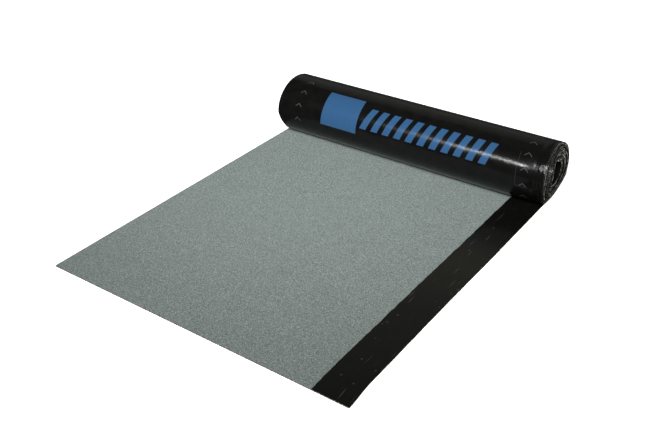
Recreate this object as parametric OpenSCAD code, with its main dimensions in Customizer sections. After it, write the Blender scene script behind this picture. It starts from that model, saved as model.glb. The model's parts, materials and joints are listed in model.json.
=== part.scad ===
// Roll of mineral-surfaced bitumen roofing felt, lying on a level floor with its
// outer end rolled out flat. It is one continuous sheet, so it is one solid.
//
// +X runs along the roll, towards the bare lap strip (the selvedge).
// -Y is the way the sheet rolls out, and +Z is up. The origin is on the floor,
// under the middle of the whole part.

/* [Sheet] */
// Width of the sheet, which is the length of the roll
sheet_w = 1000; // [600:10:1200]
// Thickness over the mineral granules
sheet_t = 4; // [3:0.1:6]
// How far the granules stand above the bare strip
granule_t = 1; // [0.5:0.1:1.5]
// Width of the bare lap strip along the +X edge
selvedge_w = 104; // [60:1:160]
// Flat length, from the middle of the roll to the free end
tail_len = 1135; // [500:5:2000]

/* [Roll] */
// Height of the roll, from the floor to its top
roll_h = 200; // [160:1:300]
// How much wider than high the roll has become, sagging under its own weight
roll_sag = 28; // [4:1:60]
// Diameter of the bore that the sheet is wound round
bore_d = 72; // [40:1:110]
// Least air and dust between one turn and the next
turn_slack = 0.2; // [0.1:0.1:2]

/* [Ends of the roll] */
// Depth of the open gap between turns at the bare strip's end
open_gap_deep = 15; // [3:1:60]
// Depth of the line between turns at the granules' end
closed_gap_deep = 3; // [1:0.5:10]
// Width of that line, where the edges of the sheet are worn round
closed_gap_w = 0.8; // [0.3:0.1:1]

/* [Nip] */
// Length over which the roll sticks to the flat sheet in front of it
nip_run = 12; // [4:1:20]

/* [Hidden] */
// Chords in each half turn of a gap
half_turn_steps = 24;
// How far a shape reaches past the face that it cuts or joins
past = 1;
// Facets of a full circle where a circle is drawn as a polygon
$fn = 96;

// The turns fill the wall from the bore to the outside exactly.
back_r = roll_h / 2;
bore_r = bore_d / 2;
turns = floor((back_r - bore_r) / (sheet_t + turn_slack));
pitch = (back_r - bore_r) / turns;

// A two-centre spiral: each half turn is a true half circle, half a pitch smaller
// than the one before. Even half turns are at the back (+Y) and odd ones at the
// front (-Y), where they are centred half a pitch higher. A short flat, longest
// outside and nothing at the bore, lies between the two centres.
function half_r(k) = back_r - k * pitch / 2;
function half_y(k) = (k % 2 == 0 ? 1 : -1) * roll_sag / 2 * (1 - k / (2 * turns));
function half_z(k) = back_r + (k % 2 == 0 ? 0 : pitch / 2);

// A point on half turn k, where 0 degrees is its lowest point, 180 its highest
// and inset is the depth below the outside of the sheet.
function turn_point(k, degrees, inset) =
    let (side = k % 2 == 0 ? 1 : -1, r = half_r(k) - inset)
    [half_y(k) + side * r * sin(degrees), half_z(k) - r * cos(degrees)];

// The steps of half turn k, in the order in which the sheet winds.
function step_angle(k, i) =
    let (a = 180 * i / half_turn_steps)
    k % 2 == 0 ? a : 180 - a;

// The last whole gap ends a turn short of the bore, at the top.
gap_halves = 2 * (turns - 1) - 1;

// The gap between one turn and the next, as seen on an end of the roll.
// inset is the sheet's own thickness at that end.
function gap_outline(inset) = concat(
    [[half_y(1), inset]],
    [for (k = [0:gap_halves - 1]) for (i = [0:half_turn_steps])
        turn_point(k, step_angle(k, i), inset)],
    [for (k = [gap_halves - 1:-1:0]) for (i = [half_turn_steps:-1:0])
        turn_point(k + 2, step_angle(k, i), 0)],
    [[half_y(1), pitch]]
);

// Sizes that follow from the sheet and the roll
bare_t = sheet_t - granule_t;
granule_w = sheet_w - selvedge_w;
nip_rise = half_r(1) - sqrt(half_r(1) ^ 2 - nip_run ^ 2);
nip_h = pitch + nip_rise + past;
front_reach = nip_run - half_y(1);
frame_y = (tail_len - half_y(0) - back_r) / 2;

// Stands an outline drawn in Y and Z up on its end and runs it along X.
module along_x(x_start, length) {
    translate([x_start, 0, 0])
        rotate([90, 0, 90])
            linear_extrude(height = length)
                children();
}

// The outside of the wound sheet: two half circles and the flat between them.
module roll_outline() {
    translate([half_y(0), half_z(0)])
        circle(r = half_r(0));
    translate([half_y(1), half_z(1)])
        circle(r = half_r(1));
    translate([half_y(1), 0])
        square([half_y(0) - half_y(1), roll_h]);
}

module wound_sheet() {
    color("#1b1c1b")
        along_x(-sheet_w / 2, sheet_w)
            roll_outline();
}

// The flat end: granules up to the bare strip, which is a step lower.
module flat_sheet() {
    color("#87928f")
        translate([-sheet_w / 2, -tail_len, 0])
            cube([granule_w, tail_len, sheet_t]);
    color("#171716")
        translate([-sheet_w / 2 + granule_w, -tail_len, 0])
            cube([selvedge_w, tail_len, bare_t]);
}

// Closes the sharp slit where the roll rests on the flat sheet.
module nip() {
    color("#1b1c1b")
        translate([-sheet_w / 2, -front_reach, 0])
            cube([sheet_w, front_reach, nip_h]);
}

module bore() {
    translate([-sheet_w / 2 - past, 0, back_r])
        rotate([0, 90, 0])
            cylinder(r = bore_r, h = sheet_w + 2 * past);
}

// The turns show on both ends: wide open where the sheet has no granules, and
// as a fine line at the other end, where the granules fill the gap.
module gaps_between_turns() {
    along_x(sheet_w / 2 - open_gap_deep, open_gap_deep + past)
        polygon(gap_outline(bare_t));
    along_x(-sheet_w / 2 - past, closed_gap_deep + past)
        polygon(gap_outline(pitch - closed_gap_w));
}

module felt_roll() {
    translate([0, frame_y, 0])
        difference() {
            union() {
                wound_sheet();
                flat_sheet();
                nip();
            }
            bore();
            gaps_between_turns();
        }
}

felt_roll();
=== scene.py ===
# %% [markdown]
# # A roll of mineral-surfaced roofing felt
#
# Roofing felt is one long sheet. A fleece is soaked in bitumen, crushed slate is
# pressed into its upper face, and a thin glossy film that burns away under the
# torch is laid on its underside. The sheet is wound with the slate inwards, so
# the roll shows the film and the rolled-out end shows the slate. Along one edge
# a strip is left without slate: the next sheet is bonded over it.
#
# The CAD model gives the frame: where the roll lies and how big it is. Here the
# same sheet is made once, flat, at its full length, and is then wound up, as it
# is in the factory. So the turns at the ends are real turns of one sheet.

# %% Load the frame
import json
import math

import bmesh
import bpy
import numpy as np
from mathutils import Matrix, Vector


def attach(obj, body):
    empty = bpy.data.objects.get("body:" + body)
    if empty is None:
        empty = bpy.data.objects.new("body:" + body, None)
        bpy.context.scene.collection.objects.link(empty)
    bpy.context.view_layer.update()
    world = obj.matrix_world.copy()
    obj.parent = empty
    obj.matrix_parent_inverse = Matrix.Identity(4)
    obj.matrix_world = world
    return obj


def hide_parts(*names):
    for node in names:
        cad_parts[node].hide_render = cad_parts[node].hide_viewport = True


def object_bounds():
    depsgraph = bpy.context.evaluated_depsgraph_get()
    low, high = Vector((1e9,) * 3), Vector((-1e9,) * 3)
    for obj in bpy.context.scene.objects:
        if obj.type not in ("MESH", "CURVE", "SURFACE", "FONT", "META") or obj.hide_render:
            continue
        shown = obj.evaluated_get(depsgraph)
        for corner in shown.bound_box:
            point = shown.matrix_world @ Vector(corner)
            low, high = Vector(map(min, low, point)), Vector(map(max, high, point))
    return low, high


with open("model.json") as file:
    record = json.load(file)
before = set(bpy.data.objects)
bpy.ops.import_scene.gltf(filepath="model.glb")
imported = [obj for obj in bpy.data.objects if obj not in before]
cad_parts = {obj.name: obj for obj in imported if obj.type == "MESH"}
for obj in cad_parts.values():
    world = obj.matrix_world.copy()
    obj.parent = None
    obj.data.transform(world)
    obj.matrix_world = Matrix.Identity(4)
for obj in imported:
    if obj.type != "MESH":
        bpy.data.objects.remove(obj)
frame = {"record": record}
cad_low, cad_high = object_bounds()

print("CAD box, mm:", [round(1000 * v) for v in cad_low], [round(1000 * v) for v in cad_high])

# %% [markdown]
# ## The sizes that everything follows
#
# The roll's axis and bore come from the CAD model's bore mount, and the flat
# length from its box. The rest are this sheet's own sizes, in metres.

# %% Sizes
MM = 0.001

bore_mount = next(m for m in frame["record"]["mounts"] if m["name"] == "bore")
lap_mount = next(m for m in frame["record"]["mounts"] if m["name"] == "lap_strip")

axis_y, axis_z = bore_mount["pos_m"][1], bore_mount["pos_m"][2]
bore_r = bore_mount["dims"]["r_mm"] * MM
width = cad_high[0] - cad_low[0]
flat_len = axis_y - cad_low[1]
bare_t = lap_mount["pos_m"][2]
granule_t = 1.0 * MM
sheet_t = bare_t + granule_t
granule_edge = 2 * lap_mount["pos_m"][0] - width / 2

print(f"flat end {flat_len:.3f} m, slate up to x = {granule_edge:.3f} m")
print(f"sheet {sheet_t / MM:.1f} mm thick over the slate, {bare_t / MM:.1f} mm at the bare strip")

# %% [markdown]
# ## How the sheet is wound
#
# A round roll that is put down sags into an oval, and the bore in its middle
# sags with it. Blender's Screw modifier makes spirals too, but only round and even
# ones. A formula can do what the real roll does: here the radius also depends on
# the direction, and every turn is the outside oval, shrunk a little towards the
# bore. Adding up the spiral's length also tells how long the sheet is.
#
# The turns are counted by an angle that starts under the roll, rises up the
# back, comes over the top and goes down the front.

# %% The spiral
turns = 14.42
spiral_points = 20001
outside_low, outside_sag = 102.2 * MM, 7.3 * MM
inside_low, inside_sag = bore_r + sheet_t, 4 * MM


def oval(angle, low, sag):
    """Radius of an oval that reaches low below its centre, and 2 * sag further sideways."""
    return low + sag - sag * np.cos(2 * angle)


def spiral_radius(angle):
    """Radius of the film side of the sheet after winding through this angle."""
    wound = angle / (2 * math.pi * turns)
    outside = oval(angle, outside_low, outside_sag)
    inside = oval(angle, inside_low, inside_sag)
    return outside * (1 - wound) + inside * wound


wind_angle = np.linspace(0, 2 * math.pi * turns, spiral_points)
wind_r = spiral_radius(wind_angle)
wind_y = axis_y + wind_r * np.sin(wind_angle)
wind_z = axis_z - wind_r * np.cos(wind_angle)
wind_z -= wind_z.min()
wind_s = np.concatenate([[0], np.cumsum(np.hypot(np.diff(wind_y), np.diff(wind_z)))])
sheet_len = flat_len + wind_s[-1]

pitch = (outside_low - inside_low) / turns
print(f"{turns} turns, {pitch / MM:.2f} mm apart, take {wind_s[-1]:.2f} m of sheet")
print(f"the whole sheet is {sheet_len:.2f} m long")

# %% [markdown]
# ## The flat sheet
#
# The felt could be built as a solid roll with a board in front of it, but then the
# turns and the flat end would never be one sheet. So the sheet is made flat, from
# a single row that is a few millimetres long. The row is cut across where something
# changes: close together at the edges and at the end of the slate, and far apart
# between them. Along the sheet the rows are longest where it stays flat, and
# shortest on the outer turns, where every ripple shows.

# %% Where the sheet is divided
outer_len = 1.35
flat_row_len, outer_row_len, row_len = 8 * MM, 4.2 * MM, 6 * MM

flat_rows = round(flat_len / flat_row_len)
outer_rows = round(outer_len / outer_row_len)
rows = flat_rows + outer_rows + round((sheet_len - flat_len - outer_len) / row_len)

# The slate ends in a steep step, which is this wide to either side.
step_half = 0.6 * MM

# Distances in millimetres: inwards from each edge, and from the end of the slate.
left_cuts = [0, 2, 6, 14, 30, 60]
step_cuts = [-22, -8, -step_half / MM, step_half / MM, 8, 24]
right_cuts = [50, 40, 32, 26, 21, 17, 13, 10, 7, 4.5, 2, 0]

cuts = [-width / 2 + c * MM for c in left_cuts]
cuts += list(np.linspace(-width / 2 + 0.11, granule_edge - 0.05, 8))
cuts += [granule_edge + c * MM for c in step_cuts]
cuts += [width / 2 - c * MM for c in right_cuts]
print(rows, "rows of", len(cuts) - 1, "faces across")

# %% [markdown]
# ## Small tools
#
# An operator works on whatever is selected, so each job starts by selecting
# nothing but the piece in hand. Faces are then picked by where they are or which
# way they face, as one would by eye.

# %% Editing tools
def edit(piece):
    """Enters edit mode on this piece alone, with nothing selected."""
    bpy.ops.object.select_all(action="DESELECT")
    bpy.context.view_layer.objects.active = piece
    piece.select_set(True)
    bpy.ops.object.mode_set(mode="EDIT")
    bpy.ops.mesh.select_mode(type="FACE")
    bpy.ops.mesh.select_all(action="DESELECT")


def done():
    bpy.ops.object.mode_set(mode="OBJECT")


def pick_faces(piece, wanted):
    """Selects the faces for which wanted(face) is true."""
    mesh = bmesh.from_edit_mesh(piece.data)
    for face in mesh.faces:
        face.select_set(wanted(face))
    bmesh.update_edit_mesh(piece.data)


def settle(piece):
    """Puts the piece's place into its mesh and leaves its object at the origin."""
    bpy.ops.object.select_all(action="DESELECT")
    bpy.context.view_layer.objects.active = piece
    piece.select_set(True)
    bpy.ops.object.transform_apply(location=True, rotation=True, scale=True)


def points_of(piece):
    co = np.empty(len(piece.data.vertices) * 3)
    piece.data.vertices.foreach_get("co", co)
    return co.reshape(-1, 3)


def move_points(piece, co):
    piece.data.vertices.foreach_set("co", co.ravel())
    piece.data.update()


# %% [markdown]
# ### One row
#
# The row starts as a plane, which is cut across at the places chosen above and
# thickened. The slate is then extruded a millimetre proud of the bare strip. Both
# sides where the next rows will join on are left open, because a wall there would
# stay inside the finished sheet.

# %% Model one row
bpy.ops.object.select_all(action="DESELECT")
bpy.ops.mesh.primitive_plane_add(size=1, location=(0, row_len / 2, 0))
felt = bpy.context.object
felt.name = "felt_sheet"
felt.scale = (width, row_len, 1)
settle(felt)

edit(felt)
for x in cuts[1:-1]:
    bpy.ops.mesh.select_all(action="SELECT")
    bpy.ops.mesh.bisect(plane_co=(x, 0, 0), plane_no=(1, 0, 0))
done()

thickness = felt.modifiers.new("thickness", "SOLIDIFY")
thickness.thickness = bare_t
thickness.offset = 1
bpy.ops.object.modifier_apply(modifier=thickness.name)

edit(felt)
pick_faces(felt, lambda f: f.normal.z > 0.5 and f.calc_center_median().x < granule_edge)
bpy.ops.mesh.extrude_region_move(TRANSFORM_OT_translate={"value": (0, 0, granule_t)})
pick_faces(felt, lambda f: abs(f.normal.y) > 0.5)
bpy.ops.mesh.delete(type="FACE")
done()
print("one row:", len(felt.data.polygons), "faces")

# %% [markdown]
# ### The whole sheet
#
# An array repeats the row and merges the points where two rows meet. Only both ends
# of the sheet are then still open, so they are filled, and the skin is closed. Last,
# the rows are spread out to the lengths chosen above.

# %% Repeat the row
along = felt.modifiers.new("along", "ARRAY")
along.count = rows
along.use_relative_offset = False
along.use_constant_offset = True
along.constant_offset_displace = (0, row_len, 0)
along.use_merge_vertices = True
along.merge_threshold = row_len / 100
bpy.ops.object.modifier_apply(modifier=along.name)

edit(felt)
bpy.ops.mesh.select_mode(type="EDGE")
bpy.ops.mesh.select_non_manifold(extend=False)
bpy.ops.mesh.edge_face_add()
bpy.ops.mesh.select_all(action="SELECT")
bpy.ops.mesh.normals_make_consistent(inside=False)
done()

flat = points_of(felt)
row_ends = [0, flat_rows, flat_rows + outer_rows, rows]
row_places = [0, flat_len, flat_len + outer_len, sheet_len]
flat[:, 1] = np.interp(flat[:, 1] / row_len, row_ends, row_places)
move_points(felt, flat)
print("flat sheet:", len(felt.data.vertices), "points,", len(felt.data.polygons), "faces")

# %% [markdown]
# ## Faces and their finishes
#
# Once the sheet is wound, its faces look every way. While it is flat it is easy to
# say which is which: slate and bare bitumen look up, the film looks down, and what
# looks sideways was cut. The UV map is laid on now too, in metres, so that every
# pattern keeps its real size and bends with the sheet.

# %% Mark the faces and lay the UV map
SIDES = ("slate", "bare", "film", "cut")
SLATE, BARE, FILM, CUT = range(len(SIDES))

mesh = felt.data
centre = np.empty(len(mesh.polygons) * 3)
normal = np.empty(len(mesh.polygons) * 3)
mesh.polygons.foreach_get("center", centre)
mesh.polygons.foreach_get("normal", normal)
centre, normal = centre.reshape(-1, 3), normal.reshape(-1, 3)

side = np.full(len(mesh.polygons), CUT)
side[normal[:, 2] < -0.5] = FILM
side[(normal[:, 2] > 0.5) & (centre[:, 0] > granule_edge)] = BARE
side[(normal[:, 2] > 0.5) & (centre[:, 0] < granule_edge)] = SLATE
step_face = (np.abs(centre[:, 0] - granule_edge) < 2 * step_half) & (normal[:, 0] > 0.5)
side[step_face] = SLATE
mesh.polygons.foreach_set("material_index", side)

corner = np.empty(len(mesh.loops), int)
mesh.loops.foreach_get("vertex_index", corner)
uv = mesh.uv_layers.new(name="flat_sheet")
uv.data.foreach_set("uv", flat[corner][:, :2].ravel())
print("faces by finish:", {name: int((side == i).sum()) for i, name in enumerate(SIDES)})

# %% [markdown]
# ## Winding it up
#
# Nothing made by hand is exact, and a roll without faults looks like a drawing.
# Displacing each point at random would look like noise, because felt is stiff and
# bends only slowly. So its faults are smooth random curves along the sheet, each
# with a seed of its own that never changes.

# %% Smooth random curves
def wander(s, every, seed):
    """A smooth random curve along the sheet, with a new value from -1 to 1 every so many metres."""
    knots = np.random.default_rng(seed).uniform(-1, 1, int(sheet_len / every) + 3)
    place = np.clip(s, 0, sheet_len) / every
    i = place.astype(int)
    t = place - i
    t = t * t * (3 - 2 * t)
    return knots[i] * (1 - t) + knots[i + 1] * t


def ramp(value, start, end):
    """Rises smoothly from 0 at start to 1 at end."""
    t = np.clip((value - start) / (end - start), 0, 1)
    return t * t * (3 - 2 * t)


# %% [markdown]
# ### The edges of the flat end
#
# The slate ends in a ragged line, because the granules fall where they like. The
# sheet's own edges are cut clean and waver by a quarter of a millimetre. The flat
# end doesn't lie quite straight either: it is a little askew, and its right edge is
# stretched wider at the free end, and again towards the roll.

# %% Ragged and crooked edges
x, s, h = flat[:, 0].copy(), flat[:, 1].copy(), flat[:, 2].copy()
at_x = flat[:, 0]
wound_s = s - flat_len
angle = np.interp(wound_s, wind_s, wind_angle)
turn = angle / (2 * math.pi)

at_step = ramp(np.abs(at_x - granule_edge), 12 * MM, 2 * step_half)
x += at_step * (1.0 * MM * wander(s, 0.013, 1) + 0.5 * MM * wander(s, 0.05, 2))

near_edge = ramp(np.abs(at_x), width / 2 - 30 * MM, width / 2)
x += near_edge * 0.25 * MM * wander(s, 0.09, 3) * np.sign(at_x)

ASKEW, FLARE_FREE_END, FLARE_AT_ROLL = 6 * MM, 6 * MM, 2.5 * MM
x -= ASKEW * np.minimum(s / flat_len, 1)
x += ramp(at_x, 0.3, width / 2) * (FLARE_FREE_END * (1 - ramp(s, 0, 0.1))
                                   + FLARE_AT_ROLL * ramp(s, 0.45, 0.8))
print(f"the flat end reaches x = {x[s < flat_len].max() / MM:.0f} mm")

# %% [markdown]
# ### Turns that stand out
#
# A sheet wanders sideways as it is wound, so the turns don't end in one plane. A
# random curve alone would do for the middle of the roll, but the first turn shows
# its whole edge, so its shape is given in a table. The later turns have a coarser
# table. They stand out further where they face up and forwards, and a little
# further where they face back, so the end of the roll looks like a leaning stack.

# %% How far each turn stands out
# First turn: turns from the flat end, how far the right edge stands out in
# millimetres, and how much further the left edge moves the same way. The last
# number also holds for the left edge of all later turns.
FIRST_TURN = [
    (0, 0, 0), (0.08, 4, 3), (0.13, 7, 5), (0.18, 12.5, 7), (0.26, 11, 9), (0.42, 7.5, 9),
    (0.55, 10, 5.5), (0.63, 15.5, 0), (0.75, 22.5, -8.5), (0.83, 23, 5), (0.91, 10, 13),
    (0.98, 1, 20)]

# Later turns: turns, how far they stand out all round, how much further where they
# face up and forwards, and how much further where they face back.
LATER_TURNS = [
    (1.1, 2, 18, 10), (2, 2, 28, 10), (3, 3, 30, 9.5), (5, 5, 27, 8),
    (8, 9, 17, 5), (11, 12, 6, 2), (turns, 13, -2, 0)]

first_turn, first_out, first_left = zip(*FIRST_TURN)
later_turn, later_out, later_forwards, later_back = zip(*LATER_TURNS)
marks, none_yet = first_turn + later_turn, (0,) * len(FIRST_TURN)
print("the right edge stands out by up to", max(first_out), "mm on the first turn")

# %% [markdown]
# Everything that moves the turns sideways is added up in one value, the drift: first
# what the tables say, then slips of a few turns together, then a little wander of
# each turn by itself. So each cause can be made stronger or weaker on its own.

# %% Move the turns sideways
# The winding angles that face up and forwards, and back.
FORWARDS, BACKWARDS = math.radians(255), math.radians(95)
GROUP, GROUP_TURNS = 3 * MM, 2.7
DRIFT, JITTER = 3.2 * MM, 1.5 * MM

drift = MM * np.interp(turn, marks, first_out + later_out)
faces_forwards = (0.5 + 0.5 * np.cos(angle - FORWARDS)) ** 3
drift += MM * faces_forwards * np.interp(turn, marks, none_yet + later_forwards)
faces_back = np.clip(np.cos(angle - BACKWARDS), 0, 1) ** 2
drift += MM * faces_back * np.interp(turn, marks, none_yet + later_back)

# Turns slip sideways in groups, and each wanders a little by itself.
in_groups = ramp(turn, 1, 2.5) * ramp(turn, 13, 10)
drift += GROUP * in_groups * np.sin(2 * math.pi * turn / GROUP_TURNS)
drift += ramp(turn, 0.9, 3.5) * (DRIFT * wander(s, 0.26, 4) + JITTER * wander(s, 0.06, 5))

at_left = 1 - ramp(at_x, -width / 2, width / 2)
drift += at_left * MM * np.interp(turn, first_turn, first_left)
x += drift
print(f"the turns move sideways by {drift.min() / MM:.0f} to {drift.max() / MM:.0f} mm")

# %% [markdown]
# ### From flat to wound
#
# A Curve modifier could bend the sheet along a drawn spiral. Here a formula already
# says where the spiral runs, so each point is put in its place directly: its
# distance along the sheet gives its place on the spiral, and its height above the
# film goes inwards from there. The bare strip is thinner than the rest and lies
# loose between the turns, so it waves a little, and on the front its lip is pinched
# inwards.

# %% Wind the sheet
PINCH, CORE_LIFT = 8 * MM, 3 * MM

loose = ramp(at_x, width / 2 - 40 * MM, width / 2) * ramp(wound_s, 0.05, 0.3)
wave = loose * (0.6 * MM * wander(s, 0.035, 6) + 0.4 * MM * wander(s, 0.014, 7))

# The pinch draws the lip inwards on the front half, mostly on the first turns.
pinched_lip = ramp(at_x, width / 2 - 70 * MM, width / 2) * np.clip(-np.sin(angle), 0, 1)
pinch = PINCH * pinched_lip * np.interp(turn, [0.3, 0.6, 0.9, 1.3, turns], [0, 1, 1, 0.9, 0])
depth = h + wave + pinch

# The spiral's place, and the direction from the film towards the slate.
wound = np.clip(wound_s, 0, wind_s[-1])
y0, z0 = np.interp(wound, wind_s, wind_y), np.interp(wound, wind_s, wind_z)
ahead_y = np.interp(wound + MM, wind_s, wind_y) - np.interp(wound - MM, wind_s, wind_y)
ahead_z = np.interp(wound + MM, wind_s, wind_z) - np.interp(wound - MM, wind_s, wind_z)
length = np.hypot(ahead_y, ahead_z)
in_y, in_z = -ahead_z / length, ahead_y / length

# At the right end the innermost turns sit a little above the roll's axis.
core_lift = CORE_LIFT * ramp(at_x, granule_edge, width / 2) * turn / turns
turned = np.column_stack([x, y0 + in_y * depth, z0 + in_z * depth + core_lift])
lying = np.column_stack([x, axis_y + wound_s, h])

# Within 2 mm of the start of the roll, lying flat passes into being wound.
bend = ramp(wound_s, -2 * MM, 2 * MM)[:, None]
move_points(felt, lying * (1 - bend) + turned * bend)

edit(felt)
bpy.ops.mesh.select_all(action="SELECT")
bpy.ops.mesh.normals_make_consistent(inside=False)
done()
bpy.ops.object.shade_smooth_by_angle(angle=math.radians(35))
print("wound sheet:", sum(len(p.vertices) - 2 for p in felt.data.polygons), "triangles")

# %% [markdown]
# ## Finishes
#
# One side of felt is nothing like the other, so each kind of face has a material
# of its own. Pictures could be laid on it, but they blur when seen close and show
# where they repeat, so every pattern here is worked out by nodes. It reads the flat
# UV map, and so its scale is one over a real size in metres.
#
# Colours are written as the sRGB values a colour picker shows, and one function
# turns them into the linear values that a shader works in.

# %% Colours and new materials
def colour(hex_code):
    """Linear colour from an sRGB hex code."""
    channels = [int(hex_code[i:i + 2], 16) / 255 for i in (1, 3, 5)]
    linear = [c / 12.92 if c <= 0.04045 else ((c + 0.055) / 1.055) ** 2.4 for c in channels]
    return (*linear, 1)


def new_finish(name, **sockets):
    """A material, its node tree and its Principled shader with these constant values."""
    material = bpy.data.materials.new(name)
    material.use_nodes = True
    tree = material.node_tree
    shader = tree.nodes["Principled BSDF"]
    for socket, value in sockets.items():
        shader.inputs[socket.replace("_", " ")].default_value = value
    return material, tree, shader


print("a mid grey of #808080 is", round(colour("#808080")[0], 3), "in linear light")

# %% [markdown]
# ### Nodes
#
# In the editor a node is added, set and wired by hand. One function does the same
# here for every kind of node, so that a finish reads as the list of its patterns.

# %% Node tools
def add(tree, kind, settings=None, links=None):
    """Adds a node with its settings, feeds its sockets, and returns its first output.

    Sockets go by name or by number, because both inputs of a Math node are called Value.
    """
    node = tree.nodes.new("ShaderNode" + kind)
    for name, value in (settings or {}).items():
        if isinstance(name, str) and hasattr(node, name):
            setattr(node, name, value)
        else:
            node.inputs[name].default_value = value
    for socket, source in (links or {}).items():
        tree.links.new(source, node.inputs[socket])
    return next(output for output in node.outputs if output.enabled)


def scale_colours(tree, value, stops):
    """A colour ramp over value, with stops of (position, hex colour)."""
    output = add(tree, "ValToRGB", links={"Fac": value})
    elements = output.node.color_ramp.elements
    while len(elements) < len(stops):
        elements.new(1.0)
    for element, (position, code) in zip(elements, stops):
        element.position, element.color = position, colour(code)
    return output


def flat_place(tree):
    """The place on the flat sheet, in metres across and along it."""
    return add(tree, "UVMap", {"uv_map": "flat_sheet"})


def dress(material):
    """Gives the sheet its next material: slate, bare, film and cut, in that order."""
    felt.data.materials.append(material)
    print(material.name, "has", len(material.node_tree.nodes), "nodes")


def math_node(tree, operation, a, b=0.0):
    """A Math node on two inputs, each an output of another node or a plain number."""
    settings, links = {"operation": operation}, {}
    for i, value in enumerate((a, b)):
        if isinstance(value, (int, float)):
            settings[i] = value
        else:
            links[i] = value
    return add(tree, "Math", settings, links)


# %% [markdown]
# ### Crushed slate
#
# The granules are about a millimetre across, and modelling each would take millions
# of faces. From where one stands to see the whole sheet they merge into an even
# grey-green with a fine salt-and-pepper grain. Two patterns give that grain: cells
# for the single stones, and a noise for the clumps and gaps between them, drawn a
# few millimetres wide so that they show. A weak cloud over both is where a little
# more or less slate stuck.

# %% Slate finish
def noise(tree, place, size, detail, **settings):
    """A noise whose lumps are about this size in metres."""
    settings = {"Scale": 1 / size, "Detail": detail, **settings}
    return add(tree, "TexNoise", settings, {"Vector": place})


def remap(tree, value, start, end, low=0.0, high=1.0):
    """Low where value is below start, high where it is above end, and even between them."""
    limits = {"From Min": start, "From Max": end, "To Min": low, "To Max": high}
    return add(tree, "MapRange", limits, {"Value": value})


STONE, CLUMP, CLOUD = 1.6 * MM, 5 * MM, 90 * MM


def slate_finish():
    material, tree, shader = new_finish("crushed_slate", Roughness=0.9, IOR=1.5)
    place = flat_place(tree)
    stone = add(tree, "TexVoronoi", {"Scale": 1 / STONE}, {"Vector": place})
    shade = add(tree, "SeparateColor", links={"Color": stone.node.outputs["Color"]})
    colours = scale_colours(
        tree, shade, [(0.0, "#444c4a"), (0.35, "#616a67"), (0.75, "#707976"), (1.0, "#8d9592")])

    clump = noise(tree, place, CLUMP, 3.0, Roughness=0.7)
    cloud = noise(tree, place, CLOUD, 2.0)
    level = math_node(tree, "MULTIPLY", remap(tree, clump, 0.3, 0.7, 0.8, 1.2),
                      remap(tree, cloud, 0.0, 1.0, 0.95, 1.05))
    base = add(tree, "VectorMath", {"operation": "SCALE"}, {"Vector": colours, "Scale": level})
    tree.links.new(base, shader.inputs["Base Color"])

    relief = add(tree, "Bump", {"Strength": 0.5, "Distance": 0.5 * MM}, {"Height": stone})
    tree.links.new(relief, shader.inputs["Normal"])
    return material


dress(slate_finish())

# %% [markdown]
# ### Bare bitumen
#
# The lap strip is smooth polymer bitumen under a release film. It is nearly
# black, with a faint grain that runs along the sheet. A dull black would look like
# a hole in the sheet, so it has enough sheen to mirror the dark roll next to it.
# Near the middle of the flat end its colour is painted a little lighter, as a
# painted sheen. It also has specks of slate dust and fine scratches, drawn a few
# millimetres wide so that they show.

# %% Bare bitumen finish
def drawn_out(tree, place, squash):
    """The flat place, squashed along the sheet so that a pattern on it is drawn out that way."""
    return add(tree, "Mapping", {"Scale": (1.0, squash, 1.0)}, {"Vector": place})


def over(tree, base, code, amount):
    """The base colour with this hex colour laid over it, as strongly as amount says."""
    return add(tree, "MixRGB", {"Color2": colour(code)}, {"Fac": amount, "Color1": base})


def within(tree, value, half, soft=0.6 * MM):
    """1 where value lies within half of zero, with a soft edge."""
    distance = math_node(tree, "ABSOLUTE", value)
    edge = {"From Min": half - soft, "From Max": half + soft, "To Min": 1.0, "To Max": 0.0}
    return add(tree, "MapRange", edge, {"Value": distance})


def offset(tree, value, start):
    """The value measured from start."""
    return math_node(tree, "SUBTRACT", value, start)


STREAK, GRAIN = 6 * MM, 2.5 * MM
PAINTED_SHEEN_AT, PAINTED_SHEEN_HALF = 0.66, 0.13
SPECK_PITCH, SCRATCH_WIDE = 30 * MM, 5 * MM


def bare_finish():
    material, tree, shader = new_finish("bare_bitumen", Roughness=0.22, IOR=1.36)
    place = flat_place(tree)
    streaks = noise(tree, drawn_out(tree, place, 0.12), STREAK, 4.0)
    grain = noise(tree, place, GRAIN, 3.0)
    tone = math_node(tree, "MULTIPLY", streaks, grain)
    base = scale_colours(tree, tone, [(0.12, "#060606"), (0.42, "#0e0e0c")])

    along_sheet = add(tree, "SeparateXYZ", links={"Vector": place}).node.outputs["Y"]
    # Painted sheen: the colour is made lighter near the middle of the flat end, where the strip
    # shines.
    painted_sheen = within(tree, offset(tree, along_sheet, PAINTED_SHEEN_AT), PAINTED_SHEEN_HALF, PAINTED_SHEEN_HALF)
    base = over(tree, base, "#2c2c24", math_node(tree, "MULTIPLY", painted_sheen, 0.14))

    specks = add(tree, "TexVoronoi", {"Scale": 1 / SPECK_PITCH}, {"Vector": place})
    speck = within(tree, specks, 0.08, 0.05)
    scratches = noise(tree, drawn_out(tree, place, 0.05), SCRATCH_WIDE, 1.0)
    scratch = remap(tree, scratches, 0.69, 0.78)
    marks_there = math_node(tree, "MAXIMUM", speck, scratch)
    base = over(tree, base, "#6b6b64", math_node(tree, "MULTIPLY", marks_there, 0.2))
    tree.links.new(base, shader.inputs["Base Color"])

    relief = add(tree, "Bump", {"Strength": 0.3, "Distance": 0.3 * MM}, {"Height": grain})
    tree.links.new(relief, shader.inputs["Normal"])
    return material


dress(bare_finish())

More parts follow.
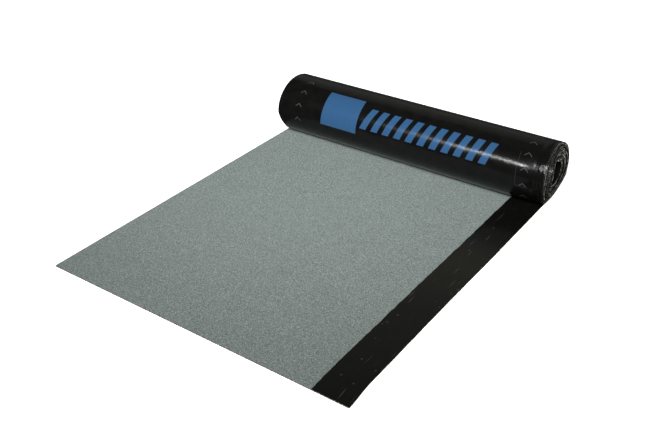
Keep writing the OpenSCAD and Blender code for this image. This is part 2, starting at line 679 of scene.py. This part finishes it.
# %% [markdown]
# ### The print on the film
#
# The underside is covered by a thin black film, which is printed in one blue ink
# and one grey: a plain block and a row of slanted bars along the middle, a row of
# small chevrons near each edge that shows which way the sheet rolls out, and beside
# the bars a short fine line where the next sheet has to reach.
#
# The print is simple enough to be worked out from the UV map, which keeps it sharp
# at any distance. Like a real printed film it repeats along the whole sheet, so it
# also lies under the flat end and on the turns inside.

# %% Sizes of the print
BLUE_INK, GREY_INK, LIP_DUST = "#23405e", "#343738", "#3c3c38"

BAR_ROW, BAR_REPEAT = flat_len + 0.447, 0.46
BAR_LONG, BAR_PITCH, BAR_WIDE, BAR_SLANT = 76 * MM, 44 * MM, 25 * MM, 0.35
BARS_MIDDLE, BARS_HALF = 2 * BAR_PITCH, 5.5 * BAR_PITCH
BLOCK_X, BLOCK_HALF_X, BLOCK_HALF_S = -243 * MM, 72 * MM, 62 * MM

CHEVRON_START, CHEVRON_PITCH = flat_len + 0.460, 50 * MM
CHEVRON_HALF, CHEVRON_LINE, CHEVRON_LEAN = 12 * MM, 3.2 * MM, 0.9
CHEVRONS_LEFT, CHEVRONS_RIGHT = 85 * MM - width / 2, width / 2 - 67 * MM

GUIDE_X, GUIDE_ROW = granule_edge + 12 * MM, BAR_ROW + 20 * MM
GUIDE_LINE, GUIDE_LONG, GUIDE_STRENGTH = 0.8 * MM, 110 * MM, 0.6

print(f"the bars in front are {BAR_ROW - flat_len:.3f} m of sheet into the roll")
print(f"they repeat every {BAR_REPEAT} m, and the chevrons every {CHEVRON_PITCH} m")

# %% [markdown]
# A mark is drawn by distance: there is ink where a point of the sheet is nearer to
# the mark's middle than half its size. Two distances multiplied make a rectangle,
# and wrapping the distance along the sheet repeats it. Adding a share of one
# distance to the other slants the bars and bends a line into a chevron.

# %% Print on the film
def repeated(tree, value, pitch_m):
    """Distance from the nearest of a row of places that lie pitch_m apart."""
    wrapped = math_node(tree, "WRAP", value, pitch_m / 2)
    wrapped.node.inputs[2].default_value = -pitch_m / 2
    return wrapped


def bar_print(tree, across, along_sheet):
    """The plain block and the row of slanted bars beside it."""
    row = repeated(tree, offset(tree, along_sheet, BAR_ROW), BAR_REPEAT)
    slanted = math_node(tree, "ADD", across, math_node(tree, "MULTIPLY", row, BAR_SLANT))
    bars = within(tree, repeated(tree, slanted, BAR_PITCH), BAR_WIDE / 2)
    bars = math_node(tree, "MULTIPLY", bars, within(tree, row, BAR_LONG / 2))
    in_row = within(tree, offset(tree, slanted, BARS_MIDDLE), BARS_HALF)
    bars = math_node(tree, "MULTIPLY", bars, in_row)
    block = math_node(tree, "MULTIPLY", within(tree, offset(tree, across, BLOCK_X), BLOCK_HALF_X),
                      within(tree, row, BLOCK_HALF_S))
    return math_node(tree, "MAXIMUM", bars, block)


def chevron_row(tree, across, along_sheet, row_x):
    """A row of chevrons along the sheet at row_x, pointing to the free end."""
    beside = offset(tree, across, row_x)
    lean = math_node(tree, "MULTIPLY", math_node(tree, "ABSOLUTE", beside), CHEVRON_LEAN)
    row = repeated(tree, offset(tree, along_sheet, CHEVRON_START), CHEVRON_PITCH)
    line = within(tree, math_node(tree, "SUBTRACT", row, lean), CHEVRON_LINE / 2)
    return math_node(tree, "MULTIPLY", line, within(tree, beside, CHEVRON_HALF))


def guide_print(tree, across, along_sheet):
    """Both rows of chevrons and the short guide lines."""
    chevrons = math_node(tree, "MAXIMUM", chevron_row(tree, across, along_sheet, CHEVRONS_LEFT),
                         chevron_row(tree, across, along_sheet, CHEVRONS_RIGHT))
    line = within(tree, offset(tree, across, GUIDE_X), GUIDE_LINE / 2)
    row = repeated(tree, offset(tree, along_sheet, GUIDE_ROW), BAR_REPEAT)
    dash = math_node(tree, "MULTIPLY", line, within(tree, row, GUIDE_LONG / 2))
    faint = math_node(tree, "MULTIPLY", dash, GUIDE_STRENGTH)
    return math_node(tree, "MAXIMUM", chevrons, faint)


# %% [markdown]
# ### Burn-off film
#
# The film is a plastic skin, shrunk onto the bitumen. It is glossy, and its slight
# ripples pull every reflection out of line. At the loose lip it has come away in
# small creases, which glint. Ripples and creases could be modelled, but they are
# shallow and fine, and a bump does the same for the light with no more faces. The
# creases are drawn steeper than they are, so that their glints show.

# %% Film finish
HAZE, WEAR = 35 * MM, 4 * MM
RIPPLE, RIPPLE_HIGH = 40 * MM, 0.8 * MM
CREASE, CREASE_HIGH = 9 * MM, 6 * MM


def film_finish():
    material, tree, shader = new_finish("burn_off_film", Roughness=0.19, IOR=1.33)
    place = flat_place(tree)
    xy = add(tree, "SeparateXYZ", links={"Vector": place}).node
    across, along_sheet = xy.outputs["X"], xy.outputs["Y"]

    haze = noise(tree, place, HAZE, 4.0)
    base = scale_colours(tree, haze, [(0.3, "#050505"), (0.7, "#0a0a09")])
    wear = noise(tree, place, WEAR, 3.0)
    worn = remap(tree, wear, 0.3, 0.5, 0.75)
    blue = math_node(tree, "MULTIPLY", bar_print(tree, across, along_sheet), worn)
    base = over(tree, base, BLUE_INK, blue)
    grey = math_node(tree, "MULTIPLY", guide_print(tree, across, along_sheet), worn)
    base = over(tree, base, GREY_INK, grey)
    at_lip = remap(tree, across, width / 2 - 7 * MM, width / 2 - 1 * MM)
    dust = math_node(tree, "MULTIPLY", remap(tree, wear, 0.45, 0.7), at_lip)
    base = over(tree, base, LIP_DUST, dust)
    tree.links.new(base, shader.inputs["Base Color"])

    ripple = noise(tree, place, RIPPLE, 2.0)
    slack = add(tree, "Bump", {"Strength": 1.0, "Distance": RIPPLE_HIGH}, {"Height": ripple})
    creases = noise(tree, drawn_out(tree, place, 0.13), CREASE, 2.0)
    near_lip = remap(tree, across, width / 2 - 36 * MM, width / 2 - 24 * MM)
    creased = math_node(tree, "MULTIPLY", creases, near_lip)
    relief = add(tree, "Bump", {"Strength": 1.0, "Distance": CREASE_HIGH},
                 {"Height": creased, "Normal": slack})
    tree.links.new(relief, shader.inputs["Normal"])
    return material


dress(film_finish())

# %% [markdown]
# ### Cut edge
#
# Where the sheet was slit, the fleece and the filled bitumen show: dark grey, with
# pale streaks that follow the cut. The streaks are partly dust and partly painted
# glints off the edges of the turns. This finish is what tells one turn from the
# next at the ends of the roll, so it is lighter and duller than the film.

# %% Cut edge finish
DUST_AND_GLINT_STREAK = 6 * MM


def cut_finish():
    material, tree, shader = new_finish("cut_edge", Roughness=0.6, IOR=1.25)
    place = flat_place(tree)
    dust = noise(tree, drawn_out(tree, place, 0.3), DUST_AND_GLINT_STREAK, 4.0, Roughness=0.7)
    # The pale stops are partly dust and partly painted glints on the cut edges.
    base = scale_colours(tree, dust, [(0.4, "#191918"), (0.5, "#53534e"), (0.6, "#a6a69e")])
    tree.links.new(base, shader.inputs["Base Color"])
    return material


dress(cut_finish())

# %% [markdown]
# ## Its place in the model
#
# The CAD model holds the same roll as a plain solid. The sheet replaces that solid
# and rides on the model's only body.

# %% Join the frame
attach(felt, "root")
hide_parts("felt_roll")
print(felt.name, "carries", [material.name for material in felt.data.materials])

# %% [markdown]
# ## Floor
#
# The floor is plain and pale. To be white under a soft light it would need far more
# light than the dark sheet can take, so it has a little glow of its own. Glossy and
# diffuse rays don't see it, which keeps that glow off the sheet.

# %% Floor
bpy.ops.object.select_all(action="DESELECT")
bpy.ops.mesh.primitive_plane_add(size=16, location=(0, 0, -0.3 * MM))
floor = bpy.context.object
floor.name = "floor"
floor_paint, _, floor_shader = new_finish("pale_floor", Roughness=0.9)
floor.data.materials.append(floor_paint)
floor_shader.inputs["Base Color"].default_value = colour("#f4f4f4")
floor_shader.inputs["Emission Color"].default_value = colour("#ffffff")
floor_shader.inputs["Emission Strength"].default_value = 0.45
floor.visible_glossy = False
floor.visible_diffuse = False
settle(floor)
print("the floor is", round(floor.dimensions.x), "m wide")

# %% [markdown]
# ## Light on the sheet
#
# A broad sun from the front lights the sheet evenly, as a large window would, and a
# spot from the same place lifts its far end. Neither shows in a reflection, so the
# gloss of the film can be lit by itself.

# %% Lights for the sheet
KEY_PLACE = (1.33, -2.86, 2.46)


def aim(lamp, place, target):
    lamp.rotation_euler = (Vector(target) - Vector(place)).to_track_quat("-Z", "Y").to_euler()


def lamp_here(kind, name, place, target, power):
    """A lamp of this kind at place, facing target."""
    bpy.ops.object.light_add(type=kind, location=place)
    lamp = bpy.context.object
    lamp.name = name
    lamp.data.energy = power
    aim(lamp, place, target)
    return lamp


key = lamp_here("SUN", "broad_front", KEY_PLACE, (0, 0, 0), 4.9)
key.data.angle = math.radians(18)
key.visible_glossy = False

lift = lamp_here("SPOT", "far_end_spot", KEY_PLACE, (-1.0, 2.0, 0), 970)
lift.data.spot_size = math.radians(43)
lift.data.spot_blend = 1.0
lift.data.shadow_soft_size = 0.15
lift.visible_glossy = False
print("on the sheet:", key.name, "and", lift.name)

# %% [markdown]
# ## Light in the reflections
#
# A glossy black thing is seen by what it mirrors. These softboxes are there for
# reflections alone and light nothing. Those in front draw the bright line along the
# roll and the glints at its lip, and those behind lay a sheen on its top, its back
# and the bare strip.

# %% Softboxes for the reflections
FRONT_Y = axis_y - 2.53
WHITE, WARM = "#ffffff", "#fffeee"

# Name, place, target, width and height in metres, power in watts, colour.
SOFTBOXES = [
    ("front_strip", (-0.77, FRONT_Y, 2.25), (0.4, axis_y, 0.15), (0.85, 0.36), 20, WHITE),
    ("front_strip_end", (-1.42, FRONT_Y, 2.25), (0.1, axis_y, 0.15), (0.5, 0.3), 2, WHITE),
    ("over_the_lips", (0.77, -1.67, 2.55), (0.45, axis_y, 0.15), (0.7, 0.7), 95, WHITE),
    ("front_strip_peak", (-0.47, FRONT_Y, 2.25), (0.4, axis_y, 0.15), (0.24, 0.2), 17, WHITE),
    ("rear_side", (3.0, 4.0, 1.7), (0, axis_y, 0.1), (1.4, 0.8), 45, WHITE),
    ("behind", (-1.7, 3.4, 2.3), (0.1, 0.3, 0), (2.5, 2.6), 3, WARM)]

for name, place, target, size, power, tint in SOFTBOXES:
    box = lamp_here("AREA", name, place, target, power)
    box.data.shape = "RECTANGLE"
    box.data.size, box.data.size_y = size
    box.data.color = colour(tint)[:3]
    box.visible_diffuse = False
print("in the reflections:", [row[0] for row in SOFTBOXES])

# %% [markdown]
# ## Surroundings
#
# The camera sees a white world, but a white world would also wash out the black
# film. The Light Path node tells the rays apart, so every other ray finds it dim,
# and one that comes off a glossy face finds it a touch brighter than the rest.

# %% Surroundings
AIR_GLOW, MIRRORED_GLOW = 0.07, 1.05

world = bpy.data.worlds.new("studio")
bpy.context.scene.world = world
world.use_nodes = True
air = world.node_tree
background = air.nodes["Background"]
background.inputs["Color"].default_value = colour("#ffffff")
ray = add(air, "LightPath").node
seen = remap(air, ray.outputs["Is Camera Ray"], 0.0, 1.0, AIR_GLOW, 1.0)
mirrored = remap(air, ray.outputs["Is Glossy Ray"], 0.0, 1.0, 1.0, MIRRORED_GLOW)
air.links.new(math_node(air, "MULTIPLY", seen, mirrored), background.inputs["Strength"])
print("the world glows at", AIR_GLOW, "where the camera doesn't look")

# %% [markdown]
# ## Camera
#
# The camera stands in front of the free end's right corner and looks down on the
# sheet, so that slate, bare strip, film and the end of the roll all show.

# %% Camera
CAMERA_PLACE = (1.336, axis_y - 2.380, 1.410)
LENS_PX, FRAME_PX, SENSOR_MM = 883.9, 650, 36
azimuth, elevation, lean = math.radians(35.65), math.radians(31.03), math.radians(-0.51)

bpy.ops.object.camera_add()
camera = bpy.context.object
camera.data.sensor_width = SENSOR_MM
camera.data.lens = SENSOR_MM * LENS_PX / FRAME_PX
heading = Matrix.Rotation(azimuth, 4, "Z") @ Matrix.Rotation(math.pi / 2 - elevation, 4, "X")
camera.matrix_world = Matrix.Translation(CAMERA_PLACE) @ heading @ Matrix.Rotation(lean, 4, "Z")
bpy.context.scene.camera = camera
bpy.context.scene.view_settings.view_transform = "Standard"
print(f"camera at {CAMERA_PLACE[2]:.2f} m above the floor, lens {camera.data.lens:.1f} mm")
